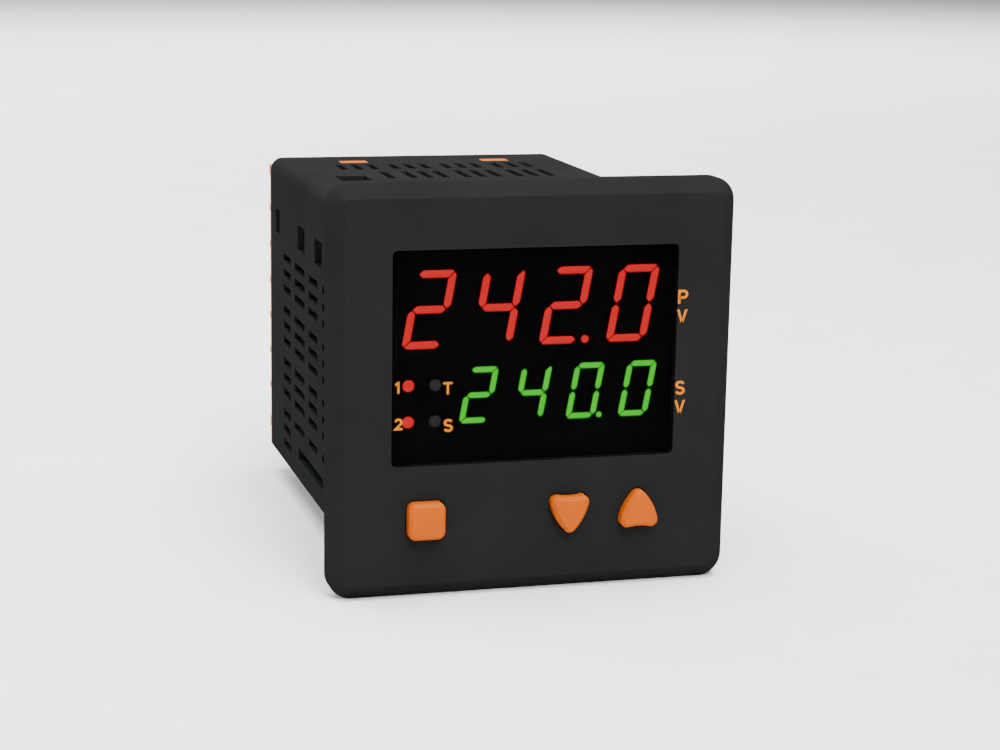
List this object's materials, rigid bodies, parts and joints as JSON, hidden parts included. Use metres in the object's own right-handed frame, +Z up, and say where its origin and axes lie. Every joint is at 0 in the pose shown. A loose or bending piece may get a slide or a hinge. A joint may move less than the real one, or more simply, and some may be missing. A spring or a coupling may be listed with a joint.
{
  "type": "pid temperature controller",
  "caption": "Square panel-mount temperature controller with a bevelled bezel, two-row numeric display, three sprung buttons, a vented case and a screw terminal block.",
  "frame": {"origin": "Middle of the bezel's back plane, where it seats on a panel, on the case's centre line.", "axes": "Front faces -Y, the case runs back along +Y, +Z is up, +X is to the right seen from the front."},
  "size_m": [0.096, 0.1283, 0.096],
  "materials": {
    "bezel_plastic": "fine moulded satin, near black",
    "window_pane": "smoked, glossy",
    "lit_red": "lit red",
    "lit_green": "lit green",
    "module_black": "matt black",
    "lamp_red": "lit red",
    "lamp_dark": "unlit grey",
    "button_orange": "soft satin orange",
    "plunger_black": "black",
    "component_black": "black moulded",
    "case_plastic": "moulded satin, near black",
    "block_orange": "moulded orange",
    "plated_brass": "bright",
    "plated_steel": "zinc plated",
    "board_green": "solder resist",
    "ferrite": "sintered grey",
    "coil_tape": "yellow tape",
    "relay_blue": "moulded blue",
    "capacitor_sleeve": "printed sleeve without print",
    "capacitor_orange": "dipped orange"
  },
  "bodies": {
    "root": {"front_bezel": "bezel_plastic", "display_window": "window_pane", "upper_segments": "lit_red", "lower_segments": "lit_green", "upper_display": "module_black", "lower_display": "module_black", "output_lamps": "lamp_red", "status_lamps": "lamp_dark", "display_mask": "module_black", "switch_bodies": "component_black", "case_shell": "case_plastic", "rear_cover": "block_orange", "left_terminal_strip": "block_orange", "right_terminal_strip": "block_orange", "terminal_plates": "plated_brass", "wire_clamps": "plated_steel", "terminal_screws": "plated_steel", "display_board": "board_green", "terminal_board": "board_green", "power_board": "board_green", "control_board": "board_green", "power_headers": "component_black", "control_headers": "component_black", "transformer_core": "ferrite", "transformer_coil": "coil_tape", "output_relays": "relay_blue", "bulk_capacitors": "capacitor_sleeve", "suppression_capacitor": "capacitor_orange", "mains_fuse": "component_black", "microcontroller": "component_black", "signal_converter": "component_black", "clock_crystal": "plated_steel", "opto_couplers": "component_black"},
    "set_key": {"set_button": "button_orange", "set_plunger": "plunger_black"},
    "down_key": {"down_button": "button_orange", "down_plunger": "plunger_black"},
    "up_key": {"up_button": "button_orange", "up_plunger": "plunger_black"}
  },
  "joints": [
    {"name": "set_press", "type": "slide", "parent": "root", "child": "set_key", "axis": [0, 1, 0], "range_m": [0, 0.0008], "stiffness_N_per_m": 600, "springref_m": -0.0004},
    {"name": "down_press", "type": "slide", "parent": "root", "child": "down_key", "axis": [0, 1, 0], "range_m": [0, 0.0008], "stiffness_N_per_m": 600, "springref_m": -0.0004},
    {"name": "up_press", "type": "slide", "parent": "root", "child": "up_key", "axis": [0, 1, 0], "range_m": [0, 0.0008], "stiffness_N_per_m": 600, "springref_m": -0.0004}
  ]
}
